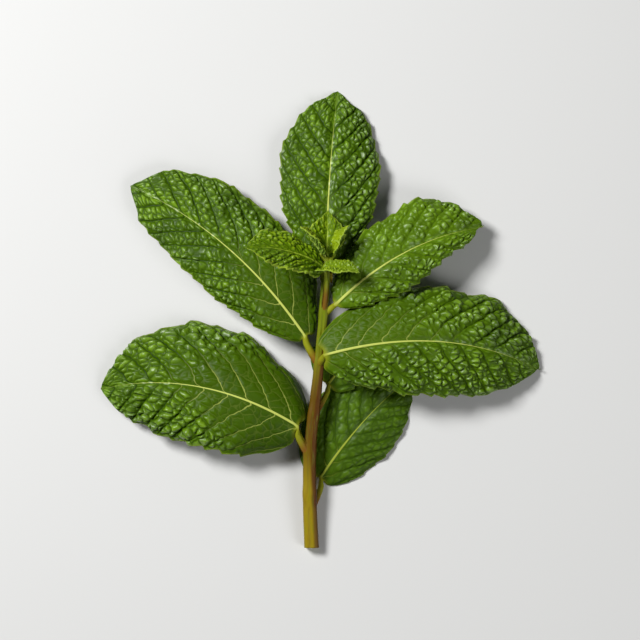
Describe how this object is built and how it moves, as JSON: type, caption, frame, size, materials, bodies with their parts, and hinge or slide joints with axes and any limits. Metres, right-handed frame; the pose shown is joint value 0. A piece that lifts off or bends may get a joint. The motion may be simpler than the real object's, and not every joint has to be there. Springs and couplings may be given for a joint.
{
  "type": "mint sprig",
  "caption": "Cut sprig of fresh mint lying on its back: a square stem with paired broad, wrinkled leaves and a tuft of young leaves at its top.",
  "frame": {"origin": "centre of the bounding box in plan, on the surface that the sprig lies on", "axes": "+Y up the shoot from the cut end to the top leaf, +X to the right as seen from above, +Z away from the surface"},
  "size_m": [0.1208, 0.1258, 0.0289],
  "materials": {
    "leaf": "glossy wrinkled leaf skin, mid green with paler veins",
    "young_leaf": "soft yellow-green young leaf",
    "stem": "smooth square stem, olive green flushed reddish brown"
  },
  "bodies": {
    "root": {"stem": "stem", "leaf_low_right": "leaf", "leaf_low_left": "leaf", "leaf_hidden_right": "leaf", "leaf_mid_left": "leaf", "leaf_mid_right": "leaf", "leaf_upper_right": "leaf", "leaf_top": "leaf", "young_left": "young_leaf", "young_right": "young_leaf", "inner_left": "young_leaf", "inner_right": "young_leaf", "inner_back": "young_leaf", "bud": "young_leaf"}
  },
  "joints": []
}
